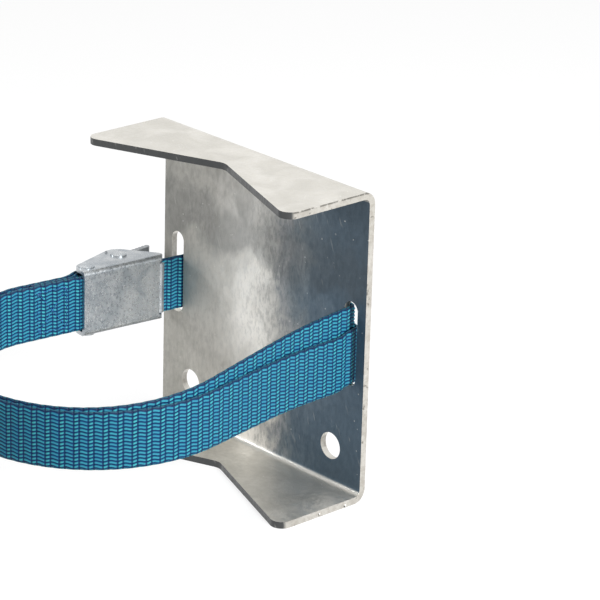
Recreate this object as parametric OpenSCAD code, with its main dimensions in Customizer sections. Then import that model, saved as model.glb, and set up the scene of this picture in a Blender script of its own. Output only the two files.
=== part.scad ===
// Wall bracket for one gas cylinder: a folded, hot-dip galvanised channel with a cradle notch in
// both flanges, and a webbing strap that closes round the cylinder with a cam buckle.
// The origin is on the wall, midway between the two fixing holes. X runs along the wall, the wall
// is on the +Y side, and the cylinder stands on the -Y side. The strap is drawn closed.

/* [Bracket] */
// Width of the bracket along the wall
bracket_w = 130; // [120:1:160]
// Height over both flanges
bracket_h = 140; // [120:1:180]
// Thickness of the galvanised sheet
sheet_t = 3; // [2:0.5:4]
// Inside radius of the two folds
bend_r = 3; // [1.5:0.5:5]
// Depth of each flange at its ends
flange_d = 50.5; // [46:0.5:60]
// Angle between the wall and each edge of the cradle notch
cradle_angle = 21; // [16:1:25]
// Radius on the front corners of the flanges
corner_r = 5; // [2:0.5:8]
// Radius at the bottom of the cradle notch
cradle_r = 6; // [2:1:12]

/* [Fixing holes] */
// Diameter of the two fixing holes
hole_d = 12; // [8:0.5:14]
// Distance between the fixing holes
hole_spacing = 92; // [70:1:100]
// Height of the fixing holes above the underside of the bottom flange
hole_up = 20; // [15:1:35]

/* [Strap slots] */
// Width of each strap slot
slot_w = 8; // [7:0.5:10]
// Height of each strap slot
slot_h = 38; // [34:1:60]
// Metal left between a slot and the end of the bracket
slot_edge = 5; // [4:0.5:8]

/* [Strap] */
// Diameter of the gas cylinder that the strap is drawn round
cylinder_d = 125; // [116:1:150]
// Width of the webbing
web_w = 25; // [20:0.5:27]
// Thickness of the webbing
web_t = 1.5; // [1.2:0.1:1.8]
// Distance between two ribs of the weave
rib_pitch = 2.9; // [2:0.1:6]
// Depth of the groove between two ribs, on each face
rib_depth = 0.2; // [0.1:0.05:0.3]
// Gap between two layers of webbing, and between webbing and metal
lay_gap = 0.3; // [0.2:0.05:0.4]
// How far the tail dips between the right slot and the front of the cylinder
front_dip = 5.4; // [0:0.2:8]
// How far the under layer shows above the tail at the front of the cylinder
layer_step = 0.8; // [0:0.1:2]
// Length of the tail tucked in behind the bracket
tucked_tail = 45; // [20:1:80]
// Length of the end that is folded round the bar and sewn down
sewn_l = 19; // [14:1:20]

/* [Buckle frame] */
// Thickness of the buckle's sheet
frame_t = 1.8; // [1.2:0.1:2.2]
// Play between each edge of the webbing and the buckle's cheek
cheek_play = 0.9; // [0.6:0.1:1.4]
// Distance along the strap from the slot to the cam pin
pin_out = 31; // [30:0.5:33]
// Distance between the cam pin and the bar that holds the sewn end
bar_back = 20; // [19:0.5:22]
// Length of the frame beyond the cam pin, where the webbing runs in
mouth_l = 17; // [15:0.5:19]
// Radius of the cheeks round the cam pin
cheek_r = 7.5; // [7:0.25:9]
// Diameter of the cam pin
pin_d = 4; // [3:0.25:4.5]
// Diameter of the bar that holds the sewn end
bar_d = 4; // [3:0.25:5]

/* [Cam lever] */
// Distance from the cam pin to the webbing that the teeth bite
cam_reach = 7.25; // [7:0.25:9]
// How much the cam's radius grows for each degree, so that it locks under load
cam_rise = 0.03; // [0.01:0.005:0.04]
// Number of rows of teeth
tooth_n = 6; // [4:1:8]
// Depth of the teeth
tooth_h = 0.9; // [0.5:0.1:1.2]
// Radius of the cam's hub
hub_r = 4.6; // [4:0.1:4.8]
// Length of the thumb lever from the cam pin
lever_l = 20; // [16:0.5:21]
// Rise of the lever's tip above the cam pin
lever_rise = 8; // [7:0.5:11]
// Thickness of the lever's plate
lever_t = 2.2; // [1.6:0.1:2.6]

/* [Cam spring] */
// Diameter of the spring wire
wire_d = 0.9; // [0.6:0.1:1.1]
// Number of full turns in the coil
coil_n = 4; // [3:1:4]

/* [Hidden] */
$fn = 64;
eps = 0.01;

galvanised = "#b4b7b4";
webbing_blue = "#1f7fb4";
zinc = "#c3c7cc";
spring_steel = "#80858a";

// Bracket
fold_r = bend_r + sheet_t;
notch_d = flange_d - bracket_w / 2 * tan(cradle_angle);
slot_r = slot_w / 2;
slot_mid = bracket_h / 2;
slot_in = bracket_w / 2 - slot_edge - slot_w;

// Where the cylinder stands, touching both edges of the notch
cylinder_r = cylinder_d / 2;
seat = [0, -notch_d - cylinder_r / cos(cradle_angle)];

// Pitch of the layers, and what the round ends of a slot take off beside its inner edge
layer_pitch = web_t + lay_gap;
function end_inset(x) = slot_r - sqrt(slot_r * slot_r - pow(slot_r - min(x, slot_r), 2));
slot_play = 0.2;
slot_low = slot_mid - slot_h / 2 + web_w / 2 + slot_play;
slot_top = slot_mid + slot_h / 2 - web_w / 2 - slot_play;

// Height of the webbing's middle: in the left slot, in the right slot (under layer and tail), and
// at the front of the cylinder
left_z = slot_low + end_inset(lay_gap);
under_z = slot_top - end_inset(lay_gap);
tail_z = slot_low + end_inset(lay_gap + layer_pitch);
function front_z(layer) = tail_z - front_dip + (layer == 0 ? layer_step : 0);
// The under layer keeps its height for longer than the tail does
function lateness(layer) = layer == 0 ? 1.4 : 1;

// The strap turns round a slot's inner edge and leaves for the cylinder along the line that
// touches both rounds; turn_a is the direction of that line's outward normal
function wrap_r(layer) = lay_gap + web_t / 2 + layer * layer_pitch;
function loop_r(layer) = cylinder_r + web_t / 2 + layer * layer_pitch;
function normal_a(edge, layer) =
    let (to_seat = seat - edge)
    atan2(to_seat.y, to_seat.x) + acos((wrap_r(layer) - loop_r(layer)) / norm(to_seat));
back_edge = [slot_in, 0];
front_edge = [slot_in, -sheet_t];
function last_edge(layer) = normal_a(back_edge, layer) >= 0 ? back_edge : front_edge;
function turn_a(layer) = normal_a(last_edge(layer), layer);
function leave_pt(layer) = last_edge(layer) + wrap_r(layer) * dir(turn_a(layer));
function touch_pt(layer) = seat + loop_r(layer) * dir(turn_a(layer));

// Left stretch of the strap, where the buckle sits: s runs along it from the slot towards the
// front, h is the height above the webbing's inner face, away from the cylinder
left_a = 180 - turn_a(0);
left_out = dir(left_a);
left_run = dir(left_a + 90);
left_foot = [-leave_pt(0).x, leave_pt(0).y] - web_t / 2 * left_out;
left_l = norm(touch_pt(0) - leave_pt(0));

// Buckle, in its own frame: x runs from the bar towards the wall with the cam pin at 0, y is h
cheek_in = web_w / 2 + cheek_play;
base_top = -0.2;
bite_gap = 0.25;
pin_h = web_t + bite_gap + cam_reach;
bar_gap = 0.2;
bar_h = web_t + bar_gap + bar_d / 2;
bar_wrap_r = bar_d / 2 + bar_gap + web_t / 2;
bar_s = pin_out + bar_back;
bar_edge = 2.5;
end_r = 2.5;
rivet_fit = 0.02;
running_fit = 0.06;
head_h = 1.4;
head_rim = 1.6;
lip_r = frame_t + 1.2;
lip_relief = 0.8;
lip_half = cheek_in - 1 - lip_relief;

// Heights of the sewn end and of the tail above it
seam_gap = 0.1;
sewn_h = web_t + seam_gap + web_t / 2;
tail_h = sewn_h + layer_pitch;
over_bar_h = bar_h + bar_wrap_r + layer_pitch;
sewn_drop = 10;
tail_drop = 12;
tail_settle = 25;
sewn_end = bar_s + sewn_drop + sewn_l;

// Cam and spring
cam_half = cheek_in - 0.3;
teeth_from = 235;
teeth_to = 285;
bite_a = 270;
coil_r = pin_d / 2 + 0.75 + wire_d / 2;
spring_bay = 5.6;
bay_r = coil_r + wire_d / 2 + 1.25;
bay_floor = cam_half - spring_bay;
rib_t = 2;
tip_r = 1.3;
grip_n = 4;
grip_pitch = 2;
grip_r = 0.45;

// ---------------------------------------------------------------- helpers
function dir(a) = [cos(a), sin(a)];
function unit(v) = v / norm(v);
function ease(t) = let (v = min(max(t, 0), 1)) v * v * (3 - 2 * v);
function mix(a, b, t) = a + (b - a) * t;
function flat(lists) = [for (l = lists) each l];

// Brings a shape drawn with the bracket's underside at z = 0 to the fixing holes' height
module from_base() { translate([0, 0, -hole_up]) children(); }

// Two discs and the area between their outer tangents
module link(p, r1, q, r2) {
    v = q - p;
    a = atan2(v.y, v.x);
    b = acos((r1 - r2) / norm(v));
    translate(p) circle(r1);
    translate(q) circle(r2);
    polygon([p + r1 * dir(a + b), p + r1 * dir(a - b), q + r2 * dir(a - b), q + r2 * dir(a + b)]);
}

// ---------------------------------------------------------------- bracket
// Section of the channel in the Y-Z plane, as a filled outline set in by t
module channel_outline(t) {
    r = fold_r - t;
    deep = flange_d + eps;
    translate([-deep, t]) square([deep - fold_r, bracket_h - 2 * t]);
    translate([-fold_r - eps, fold_r]) square([r + eps, bracket_h - 2 * fold_r]);
    for (z = [fold_r, bracket_h - fold_r]) translate([-fold_r, z]) circle(r);
}

// Outline of the flanges seen from above, with rounded front corners and a rounded cradle notch
module flange_outline() {
    slope = dir(-cradle_angle);
    end_half = (90 - cradle_angle) / 2;
    tip = [bracket_w / 2, -flange_d];
    tip_cut = corner_r / tan(end_half);
    notch = [0, -notch_d];
    notch_cut = cradle_r * tan(cradle_angle);
    half = [notch + notch_cut * slope, tip - tip_cut * slope, tip + [0, tip_cut], [bracket_w / 2, eps]];
    difference() {
        union() {
            polygon(concat(half, [for (i = [3:-1:0]) [-half[i].x, half[i].y]]));
            for (side = [-1, 1])
                translate([side * (bracket_w / 2 - corner_r), tip.y + tip_cut]) circle(corner_r);
        }
        translate(notch - [0, cradle_r / cos(cradle_angle)]) circle(cradle_r);
    }
}

module slot_cutter() {
    straight = slot_h - slot_w;
    rotate([90, 0, 0]) {
        for (z = [-1, 1])
            translate([0, z * straight / 2, 0]) cylinder(d = slot_w, h = 4 * sheet_t, center = true);
        cube([slot_w, straight, 4 * sheet_t], center = true);
    }
}

module wall_bracket() {
    color(galvanised) from_base() difference() {
        intersection() {
            rotate([90, 0, 90]) linear_extrude(bracket_w, center = true) difference() {
                channel_outline(0);
                channel_outline(sheet_t);
            }
            linear_extrude(bracket_h) flange_outline();
        }
        for (side = [-1, 1]) {
            translate([side * hole_spacing / 2, 0, hole_up]) rotate([90, 0, 0])
                cylinder(d = hole_d, h = 4 * sheet_t, center = true);
            translate([side * (slot_in + slot_r), 0, slot_mid]) slot_cutter();
        }
    }
}

// ---------------------------------------------------------------- strap
// Points of the webbing's middle line, each with its own height
function left_pt(s, h, z) = let (p = left_foot + s * left_run + h * left_out) [p.x, p.y, z];
function front_y(layer) = seat.y - loop_r(layer);

// On the left the strap stays level through the buckle, then eases down to the front
function left_height(y, layer) =
    let (from = touch_pt(0).y)
    mix(left_z, front_z(layer), ease((y - from) / (front_y(layer) - from)));

// On the right it eases up again from the front to the slot
function right_height(y, layer) =
    mix(layer == 0 ? under_z : tail_z, front_z(layer),
        ease(pow(max(y / front_y(layer), 0), lateness(layer))));

// The tail lies on the sewn end first and settles onto the under layer after it
function left_arc_pt(a, layer) =
    let (spare = layer == 0 ? 0 : (tail_h - web_t - lay_gap - web_t / 2)
                                  * (1 - ease((a - left_a) / tail_settle)),
         p = seat + (loop_r(layer) + spare) * dir(a))
    [p.x, p.y, left_height(p.y, layer)];
function right_pt(p, layer) = [p.x, p.y, right_height(p.y, layer)];

arc_n = 32;
wrap_n = 6;
span_n = 10;

// From the left touching point to the front of the cylinder
function left_arc(layer) =
    [for (i = [0:arc_n]) left_arc_pt(mix(left_a, 270, i / arc_n), layer)];

// From the front of the cylinder to the right slot, and round the slot's inner edge
function right_side(layer) =
    let (a = turn_a(layer), r = wrap_r(layer), edge = last_edge(layer))
    flat([
        [for (i = [1:arc_n]) right_pt(seat + loop_r(layer) * dir(mix(-90, a, i / arc_n)), layer)],
        [for (i = [1:span_n]) right_pt(mix(touch_pt(layer), leave_pt(layer), i / span_n), layer)],
        a < 0 ? [for (i = [1:2]) right_pt(edge + r * dir(a * (1 - i / 2)), layer)] : [],
        [for (i = [1:wrap_n]) right_pt(back_edge + r * dir(mix(max(a, 0), 90, i / wrap_n)), layer)]
    ]);

// Behind the web from the right slot to the left one, and round that slot's inner edge
function behind_web() =
    let (r = wrap_r(0), a = turn_a(0))
    flat([
        [for (i = [1:span_n]) [mix(slot_in, -slot_in, i / span_n), r,
                               mix(under_z, left_z, ease(i / span_n))]],
        [for (i = [1:wrap_n]) let (p = r * dir(mix(90, 180 - max(a, 0), i / wrap_n)))
            [p.x - slot_in, p.y, left_z]],
        a < 0 ? [for (i = [0:2]) let (p = front_edge + r * dir(a * i / 2)) [-p.x, p.y, left_z]] : []
    ]);

// The sewn end, down round the bar: it starts at its cut edge
function sewn_end_pts() = flat([
    [for (i = [0:4]) left_pt(mix(sewn_end, bar_s + sewn_drop, i / 4), sewn_h, left_z)],
    [for (i = [1:11]) left_pt(bar_s + sewn_drop * (1 - i / 12),
                              mix(sewn_h, bar_h + bar_wrap_r, ease(i / 12)), left_z)],
    [for (i = [0:12]) let (p = bar_wrap_r * dir(90 + 180 * i / 12))
        left_pt(bar_s + p.x, bar_h + p.y, left_z)],
    [for (i = [1:6]) left_pt(mix(bar_s, left_l, i / 7), web_t / 2, left_z)]
]);

// In through the buckle under the cam, over the bar, and down onto the sewn end
rise_from = pin_out + 5;
function through_buckle() = flat([
    [for (i = [1:6]) left_pt(rise_from * i / 6, web_t / 2, left_z)],
    [for (i = [1:10]) left_pt(mix(rise_from, bar_s, i / 10),
                              mix(web_t / 2, over_bar_h, ease(i / 10)), left_z)],
    [for (i = [1:12]) left_pt(bar_s + tail_drop * i / 12,
                              mix(over_bar_h, tail_h, ease(i / 12)), left_z)],
    [for (i = [1:3]) left_pt(mix(bar_s + tail_drop, left_l, i / 4), tail_h, left_z)]
]);

tucked_pts = [for (i = [1:5]) [slot_in - tucked_tail * i / 5, wrap_r(1), tail_z]];

strap_path = flat([sewn_end_pts(), left_arc(0), right_side(0), behind_web(), through_buckle(),
                   left_arc(1), right_side(1), tucked_pts]);

// Sideways direction of the path at each of its points, seen from above
function across(path) = [for (i = [0:len(path) - 1])
    let (t = path[min(i + 1, len(path) - 1)] - path[max(i - 1, 0)]) unit([t.y, -t.x])];

// Distance along the path at each of its points
function distances(path) = [for (i = 0, d = 0; i < len(path);
    i = i + 1, d = i < len(path) ? d + norm(path[i] - path[i - 1]) : d) d];

// The weave's ribs cross the strap. Half the thickness runs from a crest to a groove and back.
half_rib = rib_pitch / 2;
rib_near = half_rib / 8;
function half_t(d, t) =
    let (turns = d / rib_pitch) t / 2 - 2 * rib_depth * abs(turns - round(turns));

// Crests and grooves between two distances, apart from one that falls on a point of the path
function rib_marks(from, to) = [for (k = [floor(from / half_rib):ceil(to / half_rib)])
    let (d = k * half_rib) if (d > from + rib_near && d < to - rib_near) d];

// Sections of a band: each has its middle, its sideways direction and half its thickness
function sections(path, t) =
    let (side = across(path), run = distances(path), n = len(path))
    flat([
        [for (i = [0:n - 2], d = concat([run[i]], rib_marks(run[i], run[i + 1])))
            let (f = (d - run[i]) / (run[i + 1] - run[i]))
            [mix(path[i], path[i + 1], f), unit(mix(side[i], side[i + 1], f)), half_t(d, t)]],
        [[path[n - 1], side[n - 1], half_t(run[n - 1], t)]]
    ]);

// Flat ribbed band swept along a path: its section stands upright, t thick and w high
module band(path, t, w) {
    rings = sections(path, t);
    n = len(rings);
    points = [for (r = rings, c = [[-1, -1], [1, -1], [1, 1], [-1, 1]])
        [r[0].x + r[1].x * c.x * r[2], r[0].y + r[1].y * c.x * r[2], r[0].z + c.y * w / 2]];
    skin = [for (i = [0:n - 2], k = [0:3])
        let (a = 4 * i + k, b = 4 * i + (k + 1) % 4) each [[a, a + 4, b + 4], [a, b + 4, b]]];
    ends = [[0, 1, 2], [0, 2, 3], [4 * n - 4, 4 * n - 2, 4 * n - 3], [4 * n - 4, 4 * n - 1, 4 * n - 2]];
    polyhedron(points, concat(skin, ends));
}

module webbing_strap() {
    color(webbing_blue) from_base() band(strap_path, web_t, web_w);
}

// ---------------------------------------------------------------- buckle
// Places a shape drawn in the buckle's frame: x towards the wall, y outwards, z up
module at_buckle() {
    foot = left_foot + pin_out * left_run;
    from_base() translate([foot.x, foot.y, left_z]) rotate(left_a - 90) children();
}

pin_at = [0, pin_h];
bar_at = [-bar_back, bar_h];
anchor_at = pin_at + [-coil_r, cheek_r - 2.4];

// Cheek and floor of the frame, seen from the side
module frame_side() {
    floor_h = base_top - frame_t;
    back_x = -bar_back - bar_d / 2 - bar_edge;
    link([mouth_l - end_r, floor_h + end_r], end_r, pin_at, cheek_r);
    link(pin_at, cheek_r, bar_at, bar_d / 2 + bar_edge);
    polygon([[back_x, floor_h], [mouth_l - end_r, floor_h], pin_at, bar_at, [back_x, bar_h]]);
}

// Folded section of the frame in the Z-Y plane, as a filled outline set in by t
module frame_section(t) {
    inner_r = 0.6;
    r = inner_r + frame_t - t;
    half = cheek_in + frame_t - t;
    low = base_top - frame_t + t;
    top = pin_h + cheek_r + 1;
    translate([-half, low + r]) square([2 * half, top - low - r]);
    translate([-half + r, low]) square([2 * half - 2 * r, r + eps]);
    for (side = [-1, 1]) translate([side * (half - r), low + r]) circle(r);
}

// Rounded lip at the mouth, turned down away from the webbing
module frame_lip() {
    translate([mouth_l - end_r, base_top - lip_r]) intersection() {
        difference() {
            circle(lip_r);
            circle(lip_r - frame_t);
        }
        polygon([[-eps, 0], 2 * lip_r * dir(30), 2 * lip_r * dir(60), [-eps, 2 * lip_r]]);
    }
}

module buckle_frame() {
    color(zinc) at_buckle() difference() {
        union() {
            difference() {
                intersection() {
                    rotate([0, 90, 0]) linear_extrude(100, center = true) difference() {
                        frame_section(0);
                        frame_section(frame_t);
                    }
                    linear_extrude(4 * cheek_in, center = true) frame_side();
                }
                // Room beside the lip
                translate([mouth_l - end_r, base_top - frame_t - 1, -lip_half - lip_relief])
                    cube([end_r + 1, frame_t + 1 + eps, 2 * (lip_half + lip_relief)]);
            }
            linear_extrude(2 * lip_half, center = true) frame_lip();
        }
        translate(pin_at) cylinder(d = pin_d + 2 * rivet_fit, h = 4 * cheek_in, center = true);
        translate(bar_at) cylinder(d = bar_d + 2 * rivet_fit, h = 4 * cheek_in, center = true);
        translate(anchor_at) cylinder(d = wire_d + 0.4, h = 2 * cheek_in);
    }
}

// Round pin through both cheeks with a domed head at each end
module rivet(d) {
    out = cheek_in + frame_t;
    wide = d / 2 + head_rim;
    dome_r = wide * wide / head_h;
    cylinder(d = d, h = 2 * (out + head_h / 2), center = true);
    for (end = [0, 1]) mirror([0, 0, end]) translate([0, 0, out]) rotate_extrude() intersection() {
        translate([0, head_h - dome_r]) circle(dome_r);
        square([wide, head_h]);
    }
}

module strap_bar() { color(zinc) at_buckle() translate(bar_at) rivet(bar_d); }
module cam_pin() { color(zinc) at_buckle() translate(pin_at) rivet(pin_d); }

// ---------------------------------------------------------------- cam lever
function cam_r(a) = cam_reach + cam_rise * (bite_a - a);

// Cam with its rows of teeth, which lean against the pull of the strap
module toothed_cam() {
    step = (teeth_to - teeth_from) / tooth_n;
    teeth = [for (i = [0:tooth_n - 1]) let (a = teeth_from + i * step)
        each [(cam_r(a) - tooth_h) * dir(a), cam_r(a + 0.7 * step) * dir(a + 0.7 * step)]];
    polygon(concat([[0, 0]], teeth, [(cam_r(teeth_to) - tooth_h) * dir(teeth_to)]));
}

module lever_plate() {
    link([0, hub_r - lever_t / 2], lever_t / 2, [lever_l, lever_rise], tip_r);
}

module lever_rib() { link([0, 0], hub_r, [lever_l - 2, lever_rise - 1], tip_r - 0.4); }

module cam_lever() {
    lever_a = atan2(lever_rise - hub_r + lever_t / 2, lever_l);
    color(zinc) at_buckle() translate(pin_at) difference() {
        union() {
            linear_extrude(2 * cam_half, center = true) {
                toothed_cam();
                lever_plate();
            }
            translate([0, 0, -cam_half]) linear_extrude(2 * cam_half - spring_bay) circle(hub_r);
            for (z = [-cam_half, bay_floor - rib_t]) translate([0, 0, z])
                linear_extrude(rib_t) lever_rib();
        }
        cylinder(d = pin_d + 2 * running_fit, h = 4 * cam_half, center = true);
        // Bay for the spring
        translate([0, 0, bay_floor]) cylinder(r = bay_r, h = spring_bay + 1);
        // Grip grooves across the lever's tip
        for (i = [0:grip_n - 1]) translate([lever_l, lever_rise] + tip_r * dir(lever_a + 90)
                                           - (0.5 + i * grip_pitch) * dir(lever_a))
            cylinder(r = grip_r, h = 4 * cam_half, center = true, $fn = 16);
    }
}

// ---------------------------------------------------------------- cam spring
coil_low = bay_floor + 0.4 + wire_d / 2;
coil_high = cheek_in - 0.3 - wire_d / 2;
// The free leg presses on the lever's plate from below
press_x = 0.6 * lever_l;
press_at = [press_x, mix(hub_r - lever_t / 2, lever_rise, 0.6) - lever_t / 2 - wire_d / 2 - 0.4];
free_a = atan2(press_at.y, press_at.x) + asin(coil_r / norm(press_at));
coil_end = 360 + free_a - 90;
coil_steps = coil_n * 12;

function coil_pt(t) = let (p = coil_r * dir(mix(180, coil_end + 360 * (coil_n - 1), t)))
    [p.x, p.y, mix(coil_high, coil_low, t)];
spring_path = flat([
    [for (z = [cheek_in + frame_t + 0.6, coil_high + 1, coil_high + 0.3])
        [anchor_at.x, anchor_at.y - pin_h, z]],
    [for (y = [anchor_at.y - pin_h - 0.3, anchor_at.y - pin_h - 1, 1]) [-coil_r, y, coil_high]],
    [for (i = [0:coil_steps]) coil_pt(i / coil_steps)],
    [for (t = [0.5, 1]) let (p = mix(coil_r * dir(coil_end), press_at, t)) [p.x, p.y, coil_low]]
]);

function tangents(path) = [for (i = [0:len(path) - 1])
    unit(path[min(i + 1, len(path) - 1)] - path[max(i - 1, 0)])];
function carried(n, t) = unit(n - (n * t) * t);
function normals(tangent, start) =
    [for (i = 0, n = carried(start, tangent[0]); i < len(tangent);
          i = i + 1, n = i < len(tangent) ? carried(n, tangent[i]) : n) n];

// Round wire along a path
module wire(path, d, sides) {
    t = tangents(path);
    n = normals(t, [1, 0, 0]);
    last = len(path) - 1;
    points = [for (i = [0:last], k = [0:sides - 1]) let (a = 360 * k / sides)
        path[i] + d / 2 * (cos(a) * n[i] + sin(a) * cross(t[i], n[i]))];
    skin = [for (i = [0:last - 1], k = [0:sides - 1])
        let (a = sides * i + k, b = sides * i + (k + 1) % sides)
        each [[a, a + sides, b + sides], [a, b + sides, b]]];
    ends = [[for (k = [0:sides - 1]) k], [for (k = [sides - 1:-1:0]) last * sides + k]];
    polyhedron(points, concat(skin, ends));
}

module cam_spring() {
    color(spring_steel) at_buckle() translate(pin_at) wire(spring_path, wire_d, 8);
}

wall_bracket();
webbing_strap();
buckle_frame();
strap_bar();
cam_pin();
cam_spring();
cam_lever();
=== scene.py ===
# %% [markdown]
# # A wall bracket for one gas cylinder
#
# The object has three families of parts. A folded, galvanised channel screws to the wall. A length of blue
# webbing runs round the cylinder and through two slots in the channel. A small sprung cam buckle locks the
# webbing. The construction is already there, as a fixed frame of solids at their real size: what this
# lesson adds is the finish of each surface, and the woven form of the strap.
#
# Everything is in metres, and the frame's own places are used wherever they can be.

# %% The frame
import math

import bmesh
import bpy
from mathutils import Matrix, Quaternion, Vector


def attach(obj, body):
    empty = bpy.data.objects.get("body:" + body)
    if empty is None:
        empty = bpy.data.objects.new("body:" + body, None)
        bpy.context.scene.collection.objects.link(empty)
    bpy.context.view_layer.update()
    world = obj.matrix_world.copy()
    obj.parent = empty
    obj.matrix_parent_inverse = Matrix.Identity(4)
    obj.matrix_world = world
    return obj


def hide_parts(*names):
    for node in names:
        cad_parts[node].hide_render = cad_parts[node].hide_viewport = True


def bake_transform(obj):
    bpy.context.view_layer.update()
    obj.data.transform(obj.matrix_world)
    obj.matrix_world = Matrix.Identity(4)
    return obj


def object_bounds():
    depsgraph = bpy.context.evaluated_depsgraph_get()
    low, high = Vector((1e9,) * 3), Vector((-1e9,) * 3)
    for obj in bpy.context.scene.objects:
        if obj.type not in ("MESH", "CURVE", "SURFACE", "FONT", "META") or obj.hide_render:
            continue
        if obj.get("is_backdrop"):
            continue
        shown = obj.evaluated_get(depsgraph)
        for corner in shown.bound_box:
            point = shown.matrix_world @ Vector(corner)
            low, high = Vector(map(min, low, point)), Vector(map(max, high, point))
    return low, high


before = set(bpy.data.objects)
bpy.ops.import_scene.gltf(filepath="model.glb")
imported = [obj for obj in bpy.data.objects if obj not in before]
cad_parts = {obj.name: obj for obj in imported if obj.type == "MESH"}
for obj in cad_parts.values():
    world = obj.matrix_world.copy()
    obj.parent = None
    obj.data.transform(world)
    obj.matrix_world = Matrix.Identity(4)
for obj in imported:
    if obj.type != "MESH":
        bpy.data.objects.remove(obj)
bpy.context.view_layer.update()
MM = 0.001
print("nodes:", sorted(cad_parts))

# %% [markdown]
# ## The camera
#
# A long lens a good metre away keeps the channel's edges almost parallel, as a catalogue picture does. The
# camera stands in front, to the right and above, so that one cut end, the inside of the web and the upper
# flange all show. It is turned by a degree or two about its own axis, as a hand-set camera is.

# %% Camera
AIM = Vector((39.76, -17.28, 68.26)) * MM
CAMERA_DISTANCE = 1.3109
AZIMUTH = math.radians(46.96)
ELEVATION = math.radians(20.78)
ROLL = math.radians(1.62)
LENS_MM = 187.6


def add_camera():
    ahead = Vector((-math.sin(AZIMUTH) * math.cos(ELEVATION),
                    math.cos(AZIMUTH) * math.cos(ELEVATION),
                    -math.sin(ELEVATION)))
    camera = bpy.data.objects.new("camera", bpy.data.cameras.new("camera"))
    camera.data.lens = LENS_MM
    camera.data.sensor_width = 36
    camera.data.clip_end = 20
    camera.rotation_mode = "QUATERNION"
    camera.rotation_quaternion = ahead.to_track_quat("-Z", "Y") @ Quaternion((0, 0, 1), ROLL)
    camera.location = AIM - ahead * CAMERA_DISTANCE
    bpy.context.collection.objects.link(camera)
    bpy.context.scene.camera = camera
    return camera


camera = add_camera()
print("camera at", [round(v, 3) for v in camera.location])

# %% [markdown]
# ## Small helpers for shader trees
#
# A material here is a tree of nodes built in code. Three helpers keep that readable: one adds a node and
# sets its sockets by name, one makes a shader group with named sockets, and one mixes two colours.

# %% Shader helpers
def linear(hex_colour):
    """A web colour as the linear RGBA that shader sockets hold."""
    parts = [int(hex_colour[i:i + 2], 16) / 255 for i in (1, 3, 5)]
    return [c / 12.92 if c < 0.04045 else ((c + 0.055) / 1.055) ** 2.4 for c in parts] + [1.0]


def add(tree, kind, settings=None, **sockets):
    """Adds a node. A socket takes a plain value, or another node's output socket to link from."""
    node = tree.nodes.new("ShaderNode" + kind)
    for key, value in (settings or {}).items():
        setattr(node, key, value)
    for key, value in sockets.items():
        key = int(key[1:]) if key[0] == "_" else key.replace("_", " ")
        if isinstance(value, bpy.types.NodeSocket):
            tree.links.new(value, node.inputs[key])
        else:
            node.inputs[key].default_value = value
    return node


def maths(tree, operation, a, b=0.0, c=0.0):
    return add(tree, "Math", {"operation": operation}, _0=a, _1=b, _2=c).outputs[0]


def ramp_between(tree, value, low, high, to_low=0.0, to_high=1.0):
    """Smoothly maps low..high onto to_low..to_high, and holds beyond."""
    node = add(tree, "MapRange", {"interpolation_type": "SMOOTHSTEP"}, Value=value)
    for name, number in (("From Min", low), ("From Max", high), ("To Min", to_low), ("To Max", to_high)):
        node.inputs[name].default_value = number
    return node.outputs[0]


def mix_colours(tree, share, first, second, blend="MIX"):
    node = add(tree, "Mix", {"data_type": "RGBA", "blend_type": blend}, _0=share, _6=first, _7=second)
    return node.outputs[2]


def noise(tree, vector, scale, detail=3.0, roughness=0.5, distortion=0.0):
    return add(tree, "TexNoise", Vector=vector, Scale=scale, Detail=detail, Roughness=roughness,
               Distortion=distortion).outputs["Fac"]


def shader_group(name, inputs, outputs):
    """An empty group with its sockets made; returns the tree and its inside input and output nodes."""
    tree = bpy.data.node_groups.new(name, "ShaderNodeTree")
    for side, sockets in (("INPUT", inputs), ("OUTPUT", outputs)):
        for label, kind, value in sockets:
            socket = tree.interface.new_socket(name=label, in_out=side, socket_type="NodeSocket" + kind)
            if value is not None:
                socket.default_value = value
    return tree, tree.nodes.new("NodeGroupInput").outputs, tree.nodes.new("NodeGroupOutput").inputs


def use_group(tree, group, **sockets):
    node = add(tree, "Group", {"node_tree": group})
    for key, value in sockets.items():
        key = key.replace("_", " ")
        if isinstance(value, bpy.types.NodeSocket):
            tree.links.new(value, node.inputs[key])
        else:
            node.inputs[key].default_value = value
    return node.outputs


def new_material(name):
    material = bpy.data.materials.new(name)
    material.use_nodes = True
    tree = material.node_tree
    return material, tree, tree.nodes["Principled BSDF"], tree.links.new


def object_place(tree):
    return add(tree, "TexCoord").outputs["Object"]


print("helpers ready")

# %% [markdown]
# ## Effects that several metals share
#
# Two effects turn up on more than one metal, so each is a group built once. *Cloudy zinc* is the uneven grey
# that a zinc bath leaves: broad clouds, fine mottling, streaks, and pale specks of dross. *Rubbed scratches*
# are thin lines that run roughly one way.

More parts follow.
